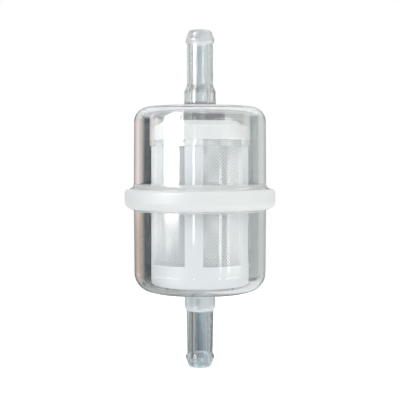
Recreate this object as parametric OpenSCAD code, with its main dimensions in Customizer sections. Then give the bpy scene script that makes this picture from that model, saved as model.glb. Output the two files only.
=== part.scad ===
// Clear inline fuel filter: two moulded shells held together by an overmoulded band,
// with a windowed mesh strainer between the two hose barbs. The strainer is fed from
// outside: fuel enters by the lower barb, passes inwards through the mesh and leaves
// by the upper barb. +Z runs along the axis, towards the outlet, and z = 0 is the
// plane where the two shells meet.

/* [Shells] */
// Outside radius of both shells at the plane where they meet
shell_r = 16.25; // [16:0.05:17]
// How much narrower each shell is where its end starts to round over
shell_draft = 0.15; // [0:0.05:0.4]
// Height of each shell from the joint plane to its flat end
shell_h = 22.6; // [22.4:0.1:25]
// Radius of the rounded outer corner of the outlet shell
outlet_corner = 3.6; // [2.5:0.1:4]
// Radius of the rounded outer corner of the inlet shell
inlet_corner = 4.8; // [2.5:0.1:5]
// Thickness of the shells' side wall
side_wall = 1.4; // [1.2:0.1:2]
// Thickness of the shells' flat end
end_wall = 1.2; // [1:0.1:1.4]

/* [Hose barbs] */
// Distance from the joint plane to the tip of each barb
tip_z = 41.4; // [40:0.1:46]
// Radius of the fuel passage
bore_r = 1.8; // [1.5:0.05:1.9]
// Radius of the stem just behind the barb, for a 6.3 mm hose
stem_r = 3.15; // [3:0.05:3.25]
// Radius of the barb's crest
crest_r = 3.55; // [3.4:0.05:3.8]
// Length of the straight land on the crest
land_len = 0.5; // [0.3:0.1:1]
// Radius of the thick collar at the root of each barb
collar_r = 3.83; // [3.6:0.01:4.4]
// Height of the collar's top above the joint plane
collar_z = 26.4; // [25.5:0.1:28]

/* [Joint band] */
// Outside radius of the band
band_r = 18.5; // [18:0.1:20]
// Height of the band above the joint plane
band_up = 2.6; // [2.4:0.1:3.2]
// Depth of the band below the joint plane
band_down = 2.3; // [2.2:0.1:3.2]
// Radius of the shells' flanges, which the band hides
flange_r = 17.3; // [16.8:0.1:17.4]

/* [Strainer] */
// Outside radius of the strainer cage
cage_r = 12.0; // [11.6:0.1:12.2]
// Height of the cage's shoulder, where the skirt stops it
shoulder_z = 13.0; // [11:0.5:13.5]
// Number of windows and of ribs
windows = 5; // [4:1:7]
// Width of each rib, in degrees
rib_angle = 20.6; // [12:0.1:30]
// Height of the windows' lower edge
window_low = -15.5; // [-17:0.5:-10]
// Height of the windows' upper edge
window_high = 14.5; // [13.5:0.1:15]
// Thickness of the mesh
mesh_t = 0.3; // [0.2:0.05:0.5]

/* [Hidden] */
$fn = 96;

gap = 0.02;
past = 1;

// Shells
ceiling_z = shell_h - end_wall;
root = end_wall / 2;
end_r = shell_r - shell_draft;
inner_mouth_r = shell_r - side_wall;
inner_end_r = end_r - side_wall;
outlet_inner_corner = 2.2;
inlet_inner_corner = 3.4;
collar_fillet = 1.5;
tongue_in_r = inner_mouth_r + 0.95;
tongue_w = 0.6;
tongue_h = 0.8;
pad_count = 4;
pad_in_r = 4;
pad_out_r = 11;
pad_w = 1.2;
pad_h = 0.6;

// Barbs: the outlet's stem is straight, the inlet's has a little draft
barb_back = 0.7;
crest_z = tip_z - 2.8;
nose_round = 1.2;
nose_tip_r = bore_r + 0.05;
outlet_root_r = stem_r;
outlet_shoulder = 1.6;
inlet_root_r = stem_r + 0.2;
inlet_shoulder = 1.0;

// Skirt and boss under the outlet's ceiling
skirt_in_r = 11.3;
skirt_out_r = cage_r + 0.35;
boss_r = 6.1;
boss_z = 18.6;

// Joint band
flange_h = 1.2;
band_top_round = 1.0;
band_low_round = 2.0;
band_grip_r = shell_r + gap;
outlet_flare = 1.2;
inlet_flare = 0.4;

// Strainer
cage_wall = 1.4;
cage_in_r = cage_r - cage_wall;
cage_base_z = pad_h - ceiling_z;
base_chamfer = 0.3;
plug_r = skirt_in_r - 0.05;
plug_shoulder_z = 17.7;
plug_top_z = 19.1;
plug_top_r = 9.0;
plug_mouth_r = 8.0;
rib_azimuth = 263.3;
window_pitch = 360 / windows;
window_angle = window_pitch - rib_angle;
mesh_r = cage_in_r + 0.2;
mesh_edge = 0.5;
mesh_edge_angle = 1.5;

// Quarter of a disc, which rounds an outer corner
module quarter_disc(radius) {
    intersection() {
        circle(radius);
        square(radius);
    }
}

// What is left of a square outside a disc, which fills an inner corner
module inside_fillet(radius) {
    difference() {
        square(radius);
        translate([radius, radius]) circle(radius);
    }
}

// Half outline of a drafted cup, filled to its axis
module cup_outline(mouth_r, top_r, height, corner) {
    polygon([[0, 0], [mouth_r, 0], [top_r, height - corner], [0, height - corner]]);
    translate([0, height - corner]) square([top_r - corner, corner]);
    translate([top_r - corner, height - corner]) quarter_disc(corner);
}

// Half outline of a collar, stem and barb, filled to its axis
module barb_outline(root_r, shoulder_len) {
    polygon([
        [0, ceiling_z], [collar_r, ceiling_z], [collar_r, collar_z],
        [root_r, collar_z + shoulder_len], [stem_r, crest_z - barb_back],
        [crest_r, crest_z], [crest_r, crest_z + land_len],
        [nose_tip_r + nose_round, tip_z - nose_round], [0, tip_z - nose_round]
    ]);
    translate([0, tip_z - nose_round]) square([nose_tip_r, nose_round]);
    translate([nose_tip_r, tip_z - nose_round]) quarter_disc(nose_round);
    translate([collar_r, shell_h]) inside_fillet(collar_fillet);
}

// Half outline of a shell with its flange, cavity and bore, mouth down at z = 0
module shell_outline(corner, inner_corner, root_r, shoulder_len, flare_z, flare) {
    difference() {
        union() {
            cup_outline(shell_r, end_r, shell_h, corner);
            barb_outline(root_r, shoulder_len);
            square([flange_r, flange_h]);
            translate([shell_r - 2 * gap, flare_z + gap]) inside_fillet(flare);
        }
        cup_outline(inner_mouth_r, inner_end_r, ceiling_z, inner_corner);
        square([bore_r, tip_z + past]);
    }
}

// Upper shell: outlet barb, skirt that holds the strainer, and a tongue at the joint
module outlet_shell() {
    color([0.93, 0.95, 0.96, 0.35]) rotate_extrude() {
        shell_outline(
            outlet_corner, outlet_inner_corner, outlet_root_r, outlet_shoulder, band_up, outlet_flare
        );
        translate([skirt_in_r, shoulder_z]) square([skirt_out_r - skirt_in_r, ceiling_z + root - shoulder_z]);
        translate([bore_r, boss_z]) square([boss_r - bore_r, ceiling_z + root - boss_z]);
        translate([tongue_in_r, -tongue_h]) square([tongue_w, tongue_h + root]);
    }
}

// Lower shell: inlet barb, floor pads that lift the strainer, and a groove at the joint
module inlet_shell() {
    color([0.93, 0.94, 0.95, 0.35]) mirror([0, 0, 1]) {
        rotate_extrude() difference() {
            shell_outline(
                inlet_corner, inlet_inner_corner, inlet_root_r, inlet_shoulder, band_down, inlet_flare
            );
            translate([tongue_in_r - gap, -past]) square([tongue_w + 2 * gap, tongue_h + past + 2 * gap]);
        }
        for (i = [0:pad_count - 1]) rotate([0, 0, (i + 0.5) * 360 / pad_count])
            translate([pad_in_r, -pad_w / 2, ceiling_z - pad_h])
                cube([pad_out_r - pad_in_r, pad_w, pad_h + root]);
    }
}

// Band moulded over both flanges, which locks and seals the two shells
module joint_band() {
    color([0.93, 0.94, 0.94]) rotate_extrude() difference() {
        union() {
            square([band_r - band_top_round, band_up]);
            square([band_r, band_up - band_top_round]);
            translate([band_r - band_top_round, band_up - band_top_round]) quarter_disc(band_top_round);
            translate([0, -band_down]) square([band_r - band_low_round, band_down]);
            translate([0, band_low_round - band_down]) square([band_r, band_down - band_low_round]);
            translate([band_r - band_low_round, band_low_round - band_down])
                mirror([0, 1]) quarter_disc(band_low_round);
        }
        translate([0, -band_down - past]) square([band_grip_r, band_down + band_up + 2 * past]);
        translate([0, -flange_h - gap]) square([flange_r + gap, 2 * (flange_h + gap)]);
    }
}

// Turns its child to the start of one window's sector, widened by the margin
module at_window(i, margin) {
    rotate([0, 0, rib_azimuth + (i - 1) * window_pitch + rib_angle / 2 - margin]) children();
}

// Closed base, ribs and top ring, with a plug that fits inside the skirt
module strainer_frame() {
    color([0.9, 0.92, 0.94]) difference() {
        rotate_extrude() polygon([
            [0, cage_base_z], [cage_r - base_chamfer, cage_base_z], [cage_r, cage_base_z + base_chamfer],
            [cage_r, shoulder_z], [plug_r, shoulder_z], [plug_r, plug_shoulder_z],
            [plug_top_r, plug_top_z], [plug_mouth_r, plug_top_z], [plug_mouth_r, plug_shoulder_z],
            [cage_in_r, plug_shoulder_z], [cage_in_r, cage_base_z + cage_wall],
            [0, cage_base_z + cage_wall]
        ]);
        for (i = [1:windows]) {
            at_window(i, 0) rotate_extrude(angle = window_angle)
                translate([cage_in_r - past, window_low]) square([cage_wall + 2 * past, window_high - window_low]);
            at_window(i, mesh_edge_angle) rotate_extrude(angle = window_angle + 2 * mesh_edge_angle)
                mesh_section(gap);
        }
    }
}

// Cross-section of a mesh panel, with room around it when it is cut as a groove
module mesh_section(room) {
    translate([mesh_r - room, window_low - mesh_edge - room])
        square([mesh_t + 2 * room, window_high - window_low + 2 * (mesh_edge + room)]);
}

// Curved mesh panel, its edges held in grooves around its window
module mesh_panel(i) {
    color([0.78, 0.81, 0.82]) at_window(i, mesh_edge_angle - 0.1)
        rotate_extrude(angle = window_angle + 2 * (mesh_edge_angle - 0.1)) mesh_section(0);
}

outlet_shell();
inlet_shell();
joint_band();
strainer_frame();
for (i = [1:windows]) mesh_panel(i);
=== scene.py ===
"""Looks of the clear inline fuel filter.

Turned clear shells, a milky joint band, a white strainer and its woven mesh.
"""

import math

import bmesh
import bpy
from mathutils import Matrix, Vector


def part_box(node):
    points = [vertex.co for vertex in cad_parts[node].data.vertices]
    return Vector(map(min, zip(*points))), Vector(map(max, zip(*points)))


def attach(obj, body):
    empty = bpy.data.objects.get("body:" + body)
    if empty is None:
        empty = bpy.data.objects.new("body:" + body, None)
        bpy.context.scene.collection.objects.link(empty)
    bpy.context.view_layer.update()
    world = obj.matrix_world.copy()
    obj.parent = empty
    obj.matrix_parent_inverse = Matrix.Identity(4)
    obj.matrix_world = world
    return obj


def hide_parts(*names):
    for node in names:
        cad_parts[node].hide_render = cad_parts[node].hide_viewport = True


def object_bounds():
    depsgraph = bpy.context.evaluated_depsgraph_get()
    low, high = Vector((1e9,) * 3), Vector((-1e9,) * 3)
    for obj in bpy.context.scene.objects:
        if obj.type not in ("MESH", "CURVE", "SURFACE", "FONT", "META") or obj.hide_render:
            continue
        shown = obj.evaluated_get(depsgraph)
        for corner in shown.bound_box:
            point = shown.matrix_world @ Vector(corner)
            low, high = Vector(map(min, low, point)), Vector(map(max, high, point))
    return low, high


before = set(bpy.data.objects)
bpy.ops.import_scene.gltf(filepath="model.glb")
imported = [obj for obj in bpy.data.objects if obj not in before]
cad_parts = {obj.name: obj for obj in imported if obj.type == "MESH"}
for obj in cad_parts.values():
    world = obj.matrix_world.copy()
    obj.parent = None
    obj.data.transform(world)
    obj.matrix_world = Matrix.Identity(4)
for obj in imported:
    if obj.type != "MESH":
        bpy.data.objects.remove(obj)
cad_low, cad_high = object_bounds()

MM = 0.001
TURN = 2 * math.pi


def box_mm(node):
    """Lowest and highest corner of a CAD node, in millimetres."""
    low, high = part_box(node)
    return low / MM, high / MM


# ---------------------------------------------------------------- sizes, in mm
_, OUTLET_HIGH = box_mm("outlet_shell")
BAND_LOW, BAND_HIGH = box_mm("joint_band")
CAGE_LOW, CAGE_HIGH = box_mm("strainer_frame")
PANEL_LOW, PANEL_HIGH = box_mm("mesh_panel_1")

TIP_Z = OUTLET_HIGH.z
SHELL_R = 16.25
SHELL_END_R = SHELL_R - 0.15
SHELL_H = 22.6
END_WALL = 1.2
OUTLET_CORNER = 3.6
OUTLET_INNER_CORNER = 2.2
INLET_CORNER = 4.8
INLET_INNER_CORNER = 3.4
SIDE_WALL = 1.4
CEILING_Z = SHELL_H - END_WALL
OUTLET_FLARE = 1.2
INLET_FLARE = 0.4
LIP_H = 0.06
FLANGE_R = 17.3
FLANGE_H = 1.2
GAP = 0.02
TONGUE_IN_R = SHELL_R - SIDE_WALL + 0.95
TONGUE_OUT_R = TONGUE_IN_R + 0.6
TONGUE_H = 0.8
PAD_COUNT = 4
PAD_IN_R = 4.0
PAD_OUT_R = 11.0
PAD_W = 1.2
PAD_H = 0.6
PAD_AIR = 0.01
EDGE_ROUND = 0.1
JOINT_ROUND = 0.05

BORE_R = 1.8
NOSE_ROUND = 1.2
TIP_LAND = 0.05
NOSE_R = BORE_R + TIP_LAND + NOSE_ROUND
BOSS_R = 6.1
BOSS_Z = 18.6
STEM_R = 3.15
CREST_R = 3.55
CREST_Z = TIP_Z - 2.8
BARB_BACK = 0.7
LAND = 0.5
COLLAR_R = 3.83
COLLAR_Z = 26.4
COLLAR_FILLET = 1.5
OUTLET_SHOULDER = 1.6
INLET_SHOULDER = 1.0
INLET_ROOT_R = STEM_R + 0.2
CREST_ROUND = 0.12
BACK_ROUND = 0.3
SHOULDER_ROUND = 0.5
COLLAR_ROUND = 0.4
PORT_ROUND = 0.15
BOSS_ROUND = 0.2
BOSS_FILLET = 0.25

BAND_R = BAND_HIGH.x
BAND_UP = BAND_HIGH.z
BAND_DOWN = -BAND_LOW.z
BAND_TOP_ROUND = 1.0
BAND_LOW_ROUND = 2.0

CAGE_R = 12.0
CAGE_WALL = 1.4
CAGE_IN_R = CAGE_R - CAGE_WALL
CAGE_BASE_Z = CAGE_LOW.z
BASE_CHAMFER = 0.3
SHOULDER_Z = 13.0
SKIRT_IN_R = 11.3
SKIRT_OUT_R = CAGE_R + 0.35
SKIRT_FILLET = 0.3
SKIRT_LIP_ROUND = 0.08
PLUG_R = SKIRT_IN_R - 0.05
PLUG_SHOULDER_Z = 17.7
PLUG_TOP_Z = CAGE_HIGH.z
PLUG_TOP_R = 9.0
PLUG_MOUTH_R = 8.0
WINDOWS = 5
RIB_DEGREES = 20.6
RIB_AZIMUTH = 263.3
MESH_EDGE = 0.5
MESH_EDGE_DEGREES = 1.4
WINDOW_LOW = PANEL_LOW.z + MESH_EDGE
WINDOW_HIGH = PANEL_HIGH.z - MESH_EDGE
MESH_R = CAGE_IN_R + 0.35


# ---------------------------------------------------------------- mesh helpers
HOLD = 0.04
ARC_SLACK = 0.01
AXIS_R = 1e-6
BEVEL = 0.16
SHARP_DEGREES = 35
TURNED_SEGMENTS = 192


def rounded(corners, step_degrees=11):
    """Closed outline of (r, z) points from corners (r, z, radius), with each corner turned on an arc.

    A point just outside each end of an arc keeps the flats flat under smooth shading.
    """
    spots = [Vector(corner[:2]) for corner in corners]
    turns = []
    for i, (here, corner) in enumerate(zip(spots, corners)):
        to_last = (spots[i - 1] - here).normalized()
        to_next = (spots[(i + 1) % len(spots)] - here).normalized()
        half = to_last.angle(to_next) / 2
        turns.append((to_last, to_next, half, corner[2] / math.tan(half)))
    points = []
    for i, (here, corner) in enumerate(zip(spots, corners)):
        to_last, to_next, half, reach = turns[i]
        if not corner[2]:
            points.append(here)
            continue
        room_last = (spots[i - 1] - here).length - reach - turns[i - 1][3]
        room_next = (spots[(i + 1) % len(spots)] - here).length - reach - turns[(i + 1) % len(spots)][3]
        if room_last > 3 * HOLD:
            points.append(here + to_last * (reach + HOLD))
        centre = here + (to_last + to_next).normalized() * corner[2] / math.sin(half)
        start = here + to_last * reach - centre
        sweep = start.angle_signed(here + to_next * reach - centre)
        steps = max(2, math.ceil(abs(math.degrees(sweep)) / step_degrees))
        for k in range(steps + 1):
            points.append(centre + start @ Matrix.Rotation(sweep * k / steps, 2))
        if room_next > 3 * HOLD:
            points.append(here + to_next * (reach + HOLD))
    return points


def finish_bmesh(name, bm, sharp_degrees=SHARP_DEGREES):
    """Object made from a bmesh, smooth but for its sharp edges."""
    bmesh.ops.recalc_face_normals(bm, faces=bm.faces)
    mesh = bpy.data.meshes.new(name)
    bm.to_mesh(mesh)
    bm.free()
    mesh.shade_smooth()
    mesh.set_sharp_from_angle(angle=math.radians(sharp_degrees))
    made = bpy.data.objects.new(name, mesh)
    bpy.context.scene.collection.objects.link(made)
    return made


def ring_of(bm, r, z, angles):
    """Vertices of one turned point: a ring, or a single vertex on the axis."""
    if r < AXIS_R:
        return [bm.verts.new((0, 0, z * MM))] * len(angles)
    return [bm.verts.new((r * MM * math.cos(a), r * MM * math.sin(a), z * MM)) for a in angles]


def face_of(bm, corners):
    """A face from corners that may repeat where the outline meets the axis."""
    distinct = list(dict.fromkeys(corners))
    return bm.faces.new(distinct) if len(distinct) > 2 else None


def lathe(name, outline, finish_at=None, add_parts=None):
    """Turns a closed (r, z) outline round the Z axis.

    finish_at gives a stretch's material index, and add_parts adds loose closed parts to the mesh.
    """
    bm = bmesh.new()
    angles = [TURN * k / TURNED_SEGMENTS for k in range(TURNED_SEGMENTS)]
    rings = [ring_of(bm, p[0], p[1], angles) for p in outline]
    for i, ring in enumerate(rings):
        j = (i + 1) % len(rings)
        finish = finish_at(outline[i], outline[j]) if finish_at else 0
        for k in range(TURNED_SEGMENTS):
            m = (k + 1) % TURNED_SEGMENTS
            face_of(bm, (ring[k], ring[m], rings[j][m], rings[j][k])).material_index = finish
    if add_parts:
        add_parts(bm)
    return finish_bmesh(name, bm)


def ride_as(piece, slot_name, *nodes):
    """The piece stands for CAD nodes, which it hides, and rides on the body; slot_name is not used."""
    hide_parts(*nodes)
    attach(piece, "root")


# ---------------------------------------------------------------- shells
def barb_corners(root_r, shoulder_len):
    """Corners of bore, nose, crest, stem, shoulder and collar, from the bore's tip outwards."""
    return [
        (BORE_R, TIP_Z, 0), (NOSE_R, TIP_Z, NOSE_ROUND - ARC_SLACK), (NOSE_R, TIP_Z - NOSE_ROUND, 0),
        (CREST_R, CREST_Z + LAND, CREST_ROUND), (CREST_R, CREST_Z, CREST_ROUND),
        (STEM_R, CREST_Z - BARB_BACK, BACK_ROUND), (root_r, COLLAR_Z + shoulder_len, SHOULDER_ROUND),
        (COLLAR_R, COLLAR_Z, COLLAR_ROUND), (COLLAR_R, SHELL_H, COLLAR_FILLET),
    ]


def wall_corners(corner, flare_z, flare):
    """Corners of a shell's outside, from its end down to the flange."""
    lip_z = flare_z + GAP
    lip_top = lip_z + LIP_H
    return [
        (SHELL_END_R, SHELL_H, corner), (SHELL_R - GAP, lip_top, flare),
        (SHELL_R + flare, lip_top, 0), (SHELL_R + flare, lip_z, 0),
        (SHELL_R, lip_z, 0), (SHELL_R, FLANGE_H, 0),
        (FLANGE_R, FLANGE_H, EDGE_ROUND), (FLANGE_R, 0, EDGE_ROUND),
    ]


def cavity_corners(inner_corner):
    """Corners of a shell's cavity, from its mouth to the ceiling."""
    return [(SHELL_R - SIDE_WALL, 0, EDGE_ROUND), (SHELL_END_R - SIDE_WALL, CEILING_Z, inner_corner)]


def outlet_outline():
    """Upper shell: its tongue, and the skirt and boss under its ceiling."""
    tongue = [
        (TONGUE_OUT_R, 0, 0), (TONGUE_OUT_R, -TONGUE_H, EDGE_ROUND),
        (TONGUE_IN_R, -TONGUE_H, EDGE_ROUND), (TONGUE_IN_R, 0, 0),
    ]
    # The two middle corners only part the skirt's stretches, for finish_at
    skirt = [
        (SKIRT_OUT_R, CEILING_Z, SKIRT_FILLET), (SKIRT_OUT_R, PLUG_SHOULDER_Z, 0),
        (SKIRT_OUT_R, WINDOW_HIGH, 0), (SKIRT_OUT_R, SHOULDER_Z, SKIRT_LIP_ROUND),
        (SKIRT_IN_R, SHOULDER_Z, SKIRT_LIP_ROUND), (SKIRT_IN_R, CEILING_Z, SKIRT_FILLET),
    ]
    boss = [(BOSS_R, CEILING_Z, BOSS_FILLET), (BOSS_R, BOSS_Z, BOSS_ROUND), (BORE_R, BOSS_Z, EDGE_ROUND)]
    return rounded(
        barb_corners(STEM_R, OUTLET_SHOULDER) + wall_corners(OUTLET_CORNER, BAND_UP, OUTLET_FLARE)
        + tongue + cavity_corners(OUTLET_INNER_CORNER) + skirt + boss
    )


def inlet_outline():
    """Lower shell, drawn upside down, with the groove for the tongue."""
    groove_top = TONGUE_H + 2 * GAP
    groove = [
        (TONGUE_OUT_R + GAP, 0, JOINT_ROUND), (TONGUE_OUT_R + GAP, groove_top, JOINT_ROUND),
        (TONGUE_IN_R - GAP, groove_top, JOINT_ROUND), (TONGUE_IN_R - GAP, 0, JOINT_ROUND),
    ]
    floor = [(BORE_R, CEILING_Z, PORT_ROUND)]
    return rounded(
        barb_corners(INLET_ROOT_R, INLET_SHOULDER) + wall_corners(INLET_CORNER, BAND_DOWN, INLET_FLARE)
        + groove + cavity_corners(INLET_INNER_CORNER) + floor
    )


def floor_pads(bm):
    """Radial pads that lift the strainer off the inlet's floor, with a hair of air above and below."""
    long, wide, high = PAD_OUT_R - PAD_IN_R, PAD_W, PAD_H - 2 * PAD_AIR
    middle = Vector(((PAD_IN_R + PAD_OUT_R) / 2, 0, PAD_H / 2 - CEILING_Z))
    for i in range(PAD_COUNT):
        turn = Matrix.Rotation(TURN * (i + 0.5) / PAD_COUNT, 4, "Z")
        size = Matrix.Diagonal((long * MM, wide * MM, high * MM, 1))
        bmesh.ops.create_cube(bm, size=1, matrix=turn @ Matrix.Translation(middle * MM) @ size)


def flipped(outline):
    """The outline upside down."""
    return [(r, -z) for r, z in outline]


# ---------------------------------------------------------------- joint band
def band_outline():
    """Ring round both shells, with a hollow inside for their flanges."""
    inner = SHELL_R + GAP
    hollow_r = FLANGE_R + GAP
    hollow_z = FLANGE_H + GAP
    return rounded([
        (inner, -BAND_DOWN, JOINT_ROUND), (BAND_R, -BAND_DOWN, BAND_LOW_ROUND),
        (BAND_R, BAND_UP, BAND_TOP_ROUND), (inner, BAND_UP, JOINT_ROUND),
        (inner, hollow_z, 0), (hollow_r, hollow_z, EDGE_ROUND),
        (hollow_r, -hollow_z, EDGE_ROUND), (inner, -hollow_z, 0),
    ], step_degrees=8)


# ---------------------------------------------------------------- strainer
def window_angles(i):
    """Start and end angle of window i, in radians."""
    pitch = 360 / WINDOWS
    start = RIB_AZIMUTH + i * pitch + RIB_DEGREES / 2
    return math.radians(start), math.radians(start + pitch - RIB_DEGREES)


def cage_outline():
    """Open outline from the axis under the base, up the outside and back down the inside to the axis."""
    return [
        (0, CAGE_BASE_Z), (CAGE_R - BASE_CHAMFER, CAGE_BASE_Z), (CAGE_R, CAGE_BASE_Z + BASE_CHAMFER),
        (CAGE_R, WINDOW_LOW), (CAGE_R, SHOULDER_Z), (PLUG_R, SHOULDER_Z), (PLUG_R, WINDOW_HIGH),
        (PLUG_R, PLUG_SHOULDER_Z), (PLUG_TOP_R, PLUG_TOP_Z),
        (PLUG_MOUTH_R, PLUG_TOP_Z), (PLUG_MOUTH_R, PLUG_SHOULDER_Z),
        (CAGE_IN_R, PLUG_SHOULDER_Z), (CAGE_IN_R, WINDOW_HIGH), (CAGE_IN_R, SHOULDER_Z),
        (CAGE_IN_R, WINDOW_LOW),
        (CAGE_IN_R, CAGE_BASE_Z + CAGE_WALL), (0, CAGE_BASE_Z + CAGE_WALL),
    ]


def strainer_cage():
    """Turned cage with its windows left out and their four sides closed."""
    outline = cage_outline()
    by_window = [i for i, (r, z) in enumerate(outline) if WINDOW_LOW <= z <= WINDOW_HIGH]
    outer = [i for i in by_window if outline[i][0] > CAGE_IN_R]
    inner = [i for i in by_window if outline[i][0] == CAGE_IN_R]
    open_steps = set(outer[:-1]) | set(inner[:-1])
    steps = range(len(outline) - 1)
    plug_steps = [i for i in steps if min(outline[i][1], outline[i + 1][1]) >= SHOULDER_Z]
    rib_cells, window_cells = 8, 20
    angles, in_window = [], []
    for i in range(WINDOWS):
        start, end = window_angles(i)
        rib = math.radians(RIB_DEGREES)
        angles += [start - rib + rib * k / rib_cells for k in range(rib_cells)]
        angles += [start + (end - start) * k / window_cells for k in range(window_cells)]
        in_window += [False] * rib_cells + [True] * window_cells
    bm = bmesh.new()
    rings = [ring_of(bm, r, z, angles) for r, z in outline]
    count = len(angles)
    high, shoulder, low = inner
    # Each outer point beside a window, with the inner point that it is joined to
    pairs = list(zip(outer, (low, shoulder, shoulder, high)))
    for k in range(count):
        j = (k + 1) % count
        for i in steps:
            if not (in_window[k] and i in open_steps):
                face = face_of(bm, (rings[i][k], rings[i][j], rings[i + 1][j], rings[i + 1][k]))
                face.material_index = 1 if i in plug_steps else 0
        if in_window[k]:
            for a, b in (pairs[0], pairs[-1]):
                face_of(bm, (rings[a][k], rings[a][j], rings[b][j], rings[b][k]))
        if in_window[k] != in_window[k - 1]:
            for a, b in zip(pairs, pairs[1:]):
                face_of(bm, (rings[a[0]][k], rings[b[0]][k], rings[b[1]][k], rings[a[1]][k]))
    cage = finish_bmesh("strainer_cage", bm)
    bevel = cage.modifiers.new("edges", "BEVEL")
    bevel.width = BEVEL * MM
    bevel.segments = 2
    bevel.limit_method = "ANGLE"
    bevel.angle_limit = math.radians(SHARP_DEGREES)
    bevel.harden_normals = True
    return cage


# ---------------------------------------------------------------- woven mesh
WEAVE_PITCH = 0.62
THREAD_HALF_WIDTH = 0.13
THREAD_HALF_DEPTH = 0.07
WEAVE_RISE = 0.07
THREAD_SIDES = 6
THREAD_SHARP_DEGREES = 70
END_CLEARANCE = 0.2


def thread_points(family, k, half_width, half_height):
    """Points (u, v, height) of diagonal thread k of a family, +1 or -1, clipped to the panel."""
    along = Vector((1, family)).normalized()
    across = Vector((-family, 1)).normalized()
    origin = across * k * WEAVE_PITCH
    lows, highs = [], []
    for axis, limit in ((0, half_width), (1, half_height)):
        ends = sorted(((-limit - origin[axis]) / along[axis], (limit - origin[axis]) / along[axis]))
        lows.append(ends[0])
        highs.append(ends[1])
    low, high = max(lows), min(highs)
    step = WEAVE_PITCH / 2
    if high - low < 2 * step:
        return []
    first, last = math.ceil(low / step + END_CLEARANCE), math.floor(high / step - END_CLEARANCE)
    stops = [low] + [n * step for n in range(first, last + 1)] + [high]
    side = family * (1 if k % 2 == 0 else -1)
    return [
        (*(origin + along * s), side * WEAVE_RISE * math.cos(math.pi * s / WEAVE_PITCH)) for s in stops
    ]


def woven_panel(i):
    """Bias-woven cloth of flattened threads, curved into window i."""
    start, end = window_angles(i)
    margin = math.radians(MESH_EDGE_DEGREES)
    middle = (start + end) / 2
    half_width = MESH_R * ((end - start) / 2 + margin)
    half_height = (PANEL_HIGH.z - PANEL_LOW.z) / 2
    centre_z = (PANEL_HIGH.z + PANEL_LOW.z) / 2
    reach = math.ceil((half_width + half_height) / math.sqrt(2) / WEAVE_PITCH)
    bm = bmesh.new()
    for family in (1, -1):
        lateral = Vector((-family, 1)).normalized() * THREAD_HALF_WIDTH
        for k in range(-reach, reach + 1):
            last = None
            for u, v, height in thread_points(family, k, half_width, half_height):
                ring = []
                for n in range(THREAD_SIDES):
                    turn = TURN * n / THREAD_SIDES
                    flat = Vector((u, v)) + lateral * math.cos(turn)
                    radius = MESH_R + height + THREAD_HALF_DEPTH * math.sin(turn)
                    angle = middle + flat.x / MESH_R
                    place = (radius * math.cos(angle), radius * math.sin(angle), centre_z + flat.y)
                    ring.append(bm.verts.new(Vector(place) * MM))
                if last:
                    for n in range(THREAD_SIDES):
                        m = (n + 1) % THREAD_SIDES
                        bm.faces.new((last[n], last[m], ring[m], ring[n]))
                else:
                    bm.faces.new(reversed(ring))
                last = ring
            if last:
                bm.faces.new(last)
    return finish_bmesh(f"woven_mesh_{i + 1}", bm, THREAD_SHARP_DEGREES)


# ---------------------------------------------------------------- materials
CLEAR, CLOUDED, HAZY, COLLAR, NIPPLE, STEM, FROSTED, HEAD_SHADE, SHADED = range(9)
ON_RADIUS = 0.01
OUTER_WALL_R = SHELL_R - 0.06
HAZE_OVER_BAND = 1.3
CLOUDED_FROM_Z = 20.2
COLLAR_END_Z = COLLAR_Z + 0.8
END_SLACK = 0.05
FILLET_TOP_Z = SHELL_H + COLLAR_FILLET + END_SLACK
BOSS_SLACK = 0.3
BOSS_END_SLACK = 0.1
# The boss's sides are tinted near black as painted shade, with a narrow light stripe left out a little
# to the right of the front
STRIPE_AZIMUTH = math.radians(-90 + 5.6)
STRIPE_HALF = math.radians(6)
NOISE_LOW, NOISE_HIGH = 0.35, 0.65
PLASTIC_IOR = 1.5


def new_material(name, **values):
    """A Principled material; the values go on the shader's own sockets."""
    made = bpy.data.materials.new(name)
    made.use_nodes = True
    shader = made.node_tree.nodes["Principled BSDF"]
    for key, value in values.items():
        shader.inputs[key.replace("_", " ")].default_value = value
    return made, shader


def math_node(tree, operation, *values):
    """Result of a Math node; its values are numbers or sockets."""
    node = tree.nodes.new("ShaderNodeMath")
    node.operation = operation
    for socket, value in zip(node.inputs, values):
        if isinstance(value, bpy.types.NodeSocket):
            tree.links.new(value, socket)
        else:
            socket.default_value = value
    return node.outputs[0]


def noise(material, scale, detail=2.0):
    """Noise in the object's own space; scale is in features per metre."""
    tree = material.node_tree
    place = tree.nodes.new("ShaderNodeTexCoord")
    made = tree.nodes.new("ShaderNodeTexNoise")
    made.inputs["Scale"].default_value = scale
    made.inputs["Detail"].default_value = detail
    tree.links.new(place.outputs["Object"], made.inputs["Vector"])
    return made.outputs["Fac"]


def add_bump(material, shader, height, strength, distance_mm):
    """Bumps the shader's normal by a height value."""
    tree = material.node_tree
    bump = tree.nodes.new("ShaderNodeBump")
    bump.inputs["Strength"].default_value = strength
    bump.inputs["Distance"].default_value = distance_mm * MM
    tree.links.new(height, bump.inputs["Height"])
    tree.links.new(bump.outputs["Normal"], shader.inputs["Normal"])


def vary(material, value, low, high, socket):
    """Drives a socket between two numbers by a noise value."""
    tree = material.node_tree
    remap = tree.nodes.new("ShaderNodeMapRange")
    remap.inputs["From Min"].default_value = NOISE_LOW
    remap.inputs["From Max"].default_value = NOISE_HIGH
    remap.inputs["To Min"].default_value = low
    remap.inputs["To Max"].default_value = high
    tree.links.new(value, remap.inputs["Value"])
    tree.links.new(remap.outputs["Result"], socket)


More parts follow.
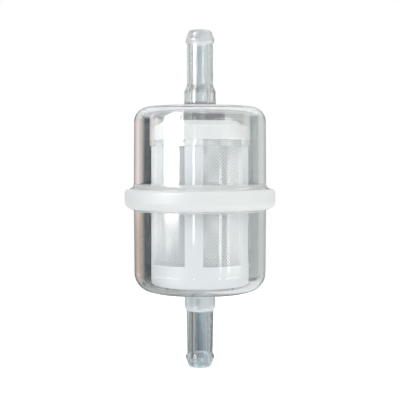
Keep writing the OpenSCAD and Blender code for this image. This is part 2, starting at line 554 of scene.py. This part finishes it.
def see_through(name, transmission, roughness, tint=(0.985, 0.99, 0.99, 1)):
    """Clear polymer with a faint moulding ripple; less transmission makes it milkier."""
    made, shader = new_material(
        name, Base_Color=tint, Roughness=roughness, IOR=PLASTIC_IOR, Transmission_Weight=transmission
    )
    add_bump(made, shader, noise(made, 160, 1.0), 0.05, 0.05)
    absorb = made.node_tree.nodes.new("ShaderNodeVolumeAbsorption")
    absorb.inputs["Color"].default_value = (0.75, 0.6, 0.5, 1)
    absorb.inputs["Density"].default_value = 8
    output = made.node_tree.nodes["Material Output"]
    made.node_tree.links.new(absorb.outputs["Volume"], output.inputs["Volume"])
    return made


def finish_at(start, end):
    """Material index of a shell's stretch, as in SHELL_FINISHES."""
    r = (start[0] + end[0]) / 2
    z = abs(start[1] + end[1]) / 2
    upper = start[1] > 0
    off_bore = r > BORE_R + ON_RADIUS
    # The lower head and stem take darker tints than the upper ones: painted shade
    if z > CREST_Z - BARB_BACK and off_bore:
        return FROSTED if upper else HEAD_SHADE
    if not upper and SHELL_H < z < COLLAR_END_Z and off_bore:
        return COLLAR
    if z > FILLET_TOP_Z:
        return NIPPLE if upper else STEM
    if z > SHELL_H - END_SLACK and off_bore:
        return CLOUDED
    # The boss's sides take the near-black SHADED finish: painted shade
    if abs(r - BOSS_R) < BOSS_SLACK and BOSS_Z - BOSS_END_SLACK < z < CEILING_Z + BOSS_END_SLACK:
        return SHADED
    if abs(r - SKIRT_OUT_R) < ON_RADIUS and WINDOW_HIGH < z < CEILING_Z:
        return HAZY if z < PLUG_SHOULDER_Z else CLOUDED
    if r > OUTER_WALL_R and FLANGE_H < z < BAND_UP + HAZE_OVER_BAND:
        return HAZY
    if z > CLOUDED_FROM_Z and upper and off_bore:
        return CLOUDED
    return CLEAR


def light_stripe(shell):
    """Takes the stripe out of the boss's painted shade."""
    for face in shell.data.polygons:
        off_stripe = abs(math.atan2(face.center.y, face.center.x) - STRIPE_AZIMUTH)
        if face.material_index == SHADED and off_stripe < STRIPE_HALF:
            face.material_index = CLOUDED


def milky_plastic():
    """Translucent plastic of the joint band."""
    made, shader = new_material(
        "milky_plastic", Base_Color=(0.66, 0.675, 0.67, 1), Roughness=0.4, IOR=PLASTIC_IOR,
        Subsurface_Weight=0.6, Subsurface_Scale=0.0015, Subsurface_Radius=(1, 1, 1),
    )
    add_bump(made, shader, noise(made, 1800, 3.0), 0.15, 0.03)
    return made


def white_plastic(name, colour):
    """Opaque plastic of the strainer's cage."""
    made, shader = new_material(
        name, Base_Color=colour, Roughness=0.35, IOR=PLASTIC_IOR,
        Subsurface_Weight=0.3, Subsurface_Scale=0.001, Subsurface_Radius=(1, 1, 1),
    )
    add_bump(made, shader, noise(made, 900, 2.0), 0.1, 0.03)
    return made


def nylon_thread():
    """Thread of the woven mesh, unevenly dull."""
    made, shader = new_material(
        "nylon_thread", Base_Color=(0.75, 0.775, 0.785, 1), Roughness=0.45, IOR=1.53,
    )
    vary(made, noise(made, 600), 0.35, 0.6, shader.inputs["Roughness"])
    return made


# ---------------------------------------------------------------- build
SHELL_FINISHES = [
    see_through("clear_plastic", 1.0, 0.02),
    see_through("clouded_plastic", 0.88, 0.03),
    see_through("hazy_plastic", 0.65, 0.03),
    see_through("collar_plastic", 0.7, 0.1, (0.91, 0.95, 0.965, 1)),
    see_through("nipple_plastic", 0.97, 0.18, (0.93, 0.95, 0.96, 1)),
    # Darker tint of the lower stem than the upper nipple: painted shade
    see_through("lower_stem_painted_shade", 0.97, 0.14, (0.85, 0.9, 0.925, 1)),
    see_through("frosted_plastic", 0.8, 0.3, (0.98, 0.985, 0.99, 1)),
    # Darker tint of the lower head than the upper head: painted shade
    see_through("lower_head_painted_shade", 0.97, 0.25, (0.7, 0.78, 0.81, 1)),
    # Near-black tint of the boss: painted shade, not the plastic's own colour
    see_through("boss_painted_shade", 1.0, 0.03, (0.02, 0.03, 0.03, 1)),
]
outlet = lathe("outlet_body", outlet_outline(), finish_at)
light_stripe(outlet)
inlet = lathe("inlet_body", flipped(inlet_outline()), finish_at, add_parts=floor_pads)
for shell, node in ((outlet, "outlet_shell"), (inlet, "inlet_shell")):
    for finish in SHELL_FINISHES:
        shell.data.materials.append(finish)
    ride_as(shell, "clear_shell", node)

band = lathe("milky_band_ring", band_outline())
band.data.materials.append(milky_plastic())
ride_as(band, "milky_band", "joint_band")

cage = strainer_cage()
cage.data.materials.append(white_plastic("white_plastic", (0.77, 0.79, 0.805, 1)))
# The plug takes a lighter copy of the cage's plastic: painted light on its top and chamfer
cage.data.materials.append(white_plastic("plug_painted_light", (0.95, 0.955, 0.96, 1)))
ride_as(cage, "white_cage", "strainer_frame")

THREAD = nylon_thread()
for i in range(WINDOWS):
    panel = woven_panel(i)
    panel.data.materials.append(THREAD)
    ride_as(panel, "strainer_mesh", f"mesh_panel_{i + 1}")


# ---------------------------------------------------------------- studio
# Panels round the filter: (azimuth, half width, low, high, softness, radiance). Angles are in degrees;
# azimuth 0 is straight behind the filter and grows towards +X. Later panels cover earlier ones. STUDIO
# is what the clear plastic reflects and shows through itself, with ROOM where it has no panel. LIGHT is
# the soft light on the white and milky parts, with SHADE around it.
ROOM = (0.72, 0.76, 0.78)
STUDIO = {
    "ceiling": (0, 180, 16, 90, 3, (0.9, 0.92, 0.93)),
    "back wall": (0, 75, -90, 14, 5, (0.5, 0.56, 0.6)),
    "left wall": (-42, 26, -90, 14, 4, (0.8, 0.71, 0.69)),
    "left wall low": (-42, 26, -9, -3, 2, (0.56, 0.45, 0.38)),
    "left wall high": (-42, 26, 4.2, 10, 0.8, (0.8, 0.8, 0.84)),
    "right wall high": (42, 26, 4.2, 10, 0.8, (0.85, 0.87, 0.87)),
    "right wall": (42, 27, -90, 14, 5, (0.63, 0.66, 0.64)),
    "right wall low": (42, 27, -7.5, -2.5, 1.5, (0.55, 0.58, 0.57)),
    "back wall high": (0, 20, 4.2, 10, 0.8, (0.3, 0.36, 0.39)),
    "ground": (0, 180, -90, -14, 1.5, (0.85, 0.88, 0.9)),
    "far ground": (180, 95, -90, -14, 3, (0.6, 0.64, 0.66)),
    "ground left": (-60, 50, -70, -14, 4, (0.42, 0.42, 0.4)),
    "ground left low": (-62, 34, -26, -19, 1.5, (0.2, 0.2, 0.19)),
    "ground shade": (-6, 18, -70, -14, 4, (0.45, 0.47, 0.47)),
    "ground glow": (50, 30, -70, -14, 5, (0.78, 0.8, 0.8)),
    "far table": (180, 84, -14, -8.2, 2, (0.5, 0.54, 0.56)),
    "table": (0, 98, -14, -8.2, 0.4, (0.02, 0.06, 0.09)),
    "table left": (-33, 15, -14, -8.2, 1.5, (0.5, 0.45, 0.41)),
    "table right": (34, 13, -14, -8.2, 1.5, (0.62, 0.65, 0.65)),
    "left flag": (-9, 9, -16, 5, 4.5, (0.01, 0.022, 0.03)),
    "right flag": (13, 8, -8, 5.5, 4.5, (0.31, 0.355, 0.355)),
    "backdrop": (-0.5, 5, -6, 3.5, 1.5, (1.0, 1.0, 1.0)),
    "left card": (-68, 20, -45, 8, 3, (0.04, 0.055, 0.055)),
    "left glow": (-101, 11, -5.5, 9, 1.5, (3.6, 3.7, 3.7)),
    "right glow": (117, 14, -6.5, 1.3, 1.5, (3.3, 3.3, 3.2)),
    "right card": (75, 11, -16, 8, 3, (0.3, 0.35, 0.35)),
    "softbox glow": (-129, 14, -5.5, 5, 1.0, (3.6, 3.6, 3.6)),
    "softbox": (-129, 14, -4.1, 50, 0.7, (12, 12, 12)),
    "left lamp": (-169, 1.5, -5.3, 1.8, 0.6, (8, 8, 8)),
    "right lamp": (144, 1.3, -6.9, 0.4, 0.6, (8, 8, 8)),
    "far right lamp": (129, 1.3, -6.9, 0.4, 0.6, (8, 8, 8)),
}
SHADE = (0.9, 0.92, 0.92)
LIGHT = {
    "left key": (-168, 35, 10, 70, 20, (1.5, 1.55, 1.6)),
    "right fill": (110, 35, -10, 50, 20, (1.25, 1.25, 1.2)),
}


def fade(tree, value, off, on):
    """0 at the value off, 1 at the value on, smooth between."""
    node = tree.nodes.new("ShaderNodeMapRange")
    node.interpolation_type = "SMOOTHSTEP"
    low, high = min(off, on), max(off, on)
    node.inputs["From Min"].default_value = low
    node.inputs["From Max"].default_value = high
    node.inputs["To Min"].default_value = 0 if off < on else 1
    node.inputs["To Max"].default_value = 1 if off < on else 0
    tree.links.new(value, node.inputs["Value"])
    return node.outputs["Result"]


def mix_colour(tree, share, below, above):
    """Colour between below and above, by the share of above."""
    node = tree.nodes.new("ShaderNodeMix")
    node.data_type = "RGBA"
    # Sockets 0, 6 and 7 are the Mix node's factor and its two colours; output 2 is the colour
    for key, value in ((0, share), (6, below), (7, above)):
        if isinstance(value, bpy.types.NodeSocket):
            tree.links.new(value, node.inputs[key])
        else:
            node.inputs[key].default_value = value
    return node.outputs[2]


def panels(tree, base, listed, azimuth, elevation):
    """Colour of the listed panels over a base colour, for every direction."""
    colour = (*base, 1)
    for centre, half, low, high, soft, radiance in listed.values():
        turned = math_node(tree, "SUBTRACT", azimuth, math.radians(centre))
        off_axis = math_node(tree, "ABSOLUTE", math_node(tree, "WRAP", turned, math.pi, -math.pi))
        masks = (
            fade(tree, off_axis, math.radians(half + soft), math.radians(half - soft)),
            fade(tree, elevation, math.radians(low - soft), math.radians(low + soft)),
            fade(tree, elevation, math.radians(high + soft), math.radians(high - soft)),
        )
        share = math_node(tree, "MULTIPLY", math_node(tree, "MULTIPLY", masks[0], masks[1]), masks[2])
        colour = mix_colour(tree, share, colour, (*radiance, 1))
    return colour


def studio_world():
    """World of panels; the camera itself sees white."""
    world = bpy.data.worlds.new("studio")
    world.use_nodes = True
    world.cycles.sampling_method = "NONE"
    tree = world.node_tree
    direction = tree.nodes.new("ShaderNodeTexCoord").outputs["Generated"]
    split = tree.nodes.new("ShaderNodeSeparateXYZ")
    tree.links.new(direction, split.inputs[0])
    azimuth = math_node(tree, "ARCTAN2", split.outputs["X"], split.outputs["Y"])
    elevation = math_node(tree, "ARCSINE", split.outputs["Z"])
    path = tree.nodes.new("ShaderNodeLightPath")
    lighting = math_node(tree, "GREATER_THAN", path.outputs["Diffuse Depth"], 0.5)
    colour = mix_colour(
        tree, lighting,
        panels(tree, ROOM, STUDIO, azimuth, elevation), panels(tree, SHADE, LIGHT, azimuth, elevation),
    )
    colour = mix_colour(tree, path.outputs["Is Camera Ray"], colour, (1, 1, 1, 1))
    tree.links.new(colour, tree.nodes["Background"].inputs["Color"])
    bpy.context.scene.world = world


FLOOR_R = 140
FLOOR_AIR = 0.02


def pale_floor():
    """Round floor under the lower tip, unseen by the clear plastic."""
    bm = bmesh.new()
    bmesh.ops.create_circle(bm, cap_ends=True, radius=FLOOR_R * MM, segments=96)
    floor = finish_bmesh("floor", bm)
    floor.location.z = cad_low.z - FLOOR_AIR * MM
    made, _ = new_material(
        "floor_white", Base_Color=(0.9, 0.9, 0.9, 1), Roughness=0.9,
        Emission_Color=(1, 1, 1, 1), Emission_Strength=0.45,
    )
    floor.data.materials.append(made)
    floor.visible_transmission = False
    floor.visible_glossy = False


SENSOR_MM = 36
HALF_VIEW = math.radians(11.65)
CAMERA_PLACE_M = Vector((0, -0.2386, 0.00895))
CAMERA_AIM_M = Vector((0, 0, -0.00015))


def add_camera():
    """Camera at the photo's angle: in front, level with the upper shell and looking a little down."""
    data = bpy.data.cameras.new("camera")
    data.sensor_width = SENSOR_MM
    data.lens = SENSOR_MM / 2 / math.tan(HALF_VIEW)
    data.clip_start, data.clip_end = 0.01, 20
    camera = bpy.data.objects.new("camera", data)
    bpy.context.scene.collection.objects.link(camera)
    camera.location = CAMERA_PLACE_M
    line_of_sight = CAMERA_AIM_M - camera.location
    camera.rotation_euler = line_of_sight.to_track_quat("-Z", "Y").to_euler()
    bpy.context.scene.camera = camera


studio_world()
pale_floor()
add_camera()

scene = bpy.context.scene
scene.view_settings.view_transform = "Standard"
scene.cycles.blur_glossy = 0
scene.cycles.max_bounces = 24
scene.cycles.transmission_bounces = 24
scene.cycles.glossy_bounces = 8
scene.cycles.diffuse_bounces = 4
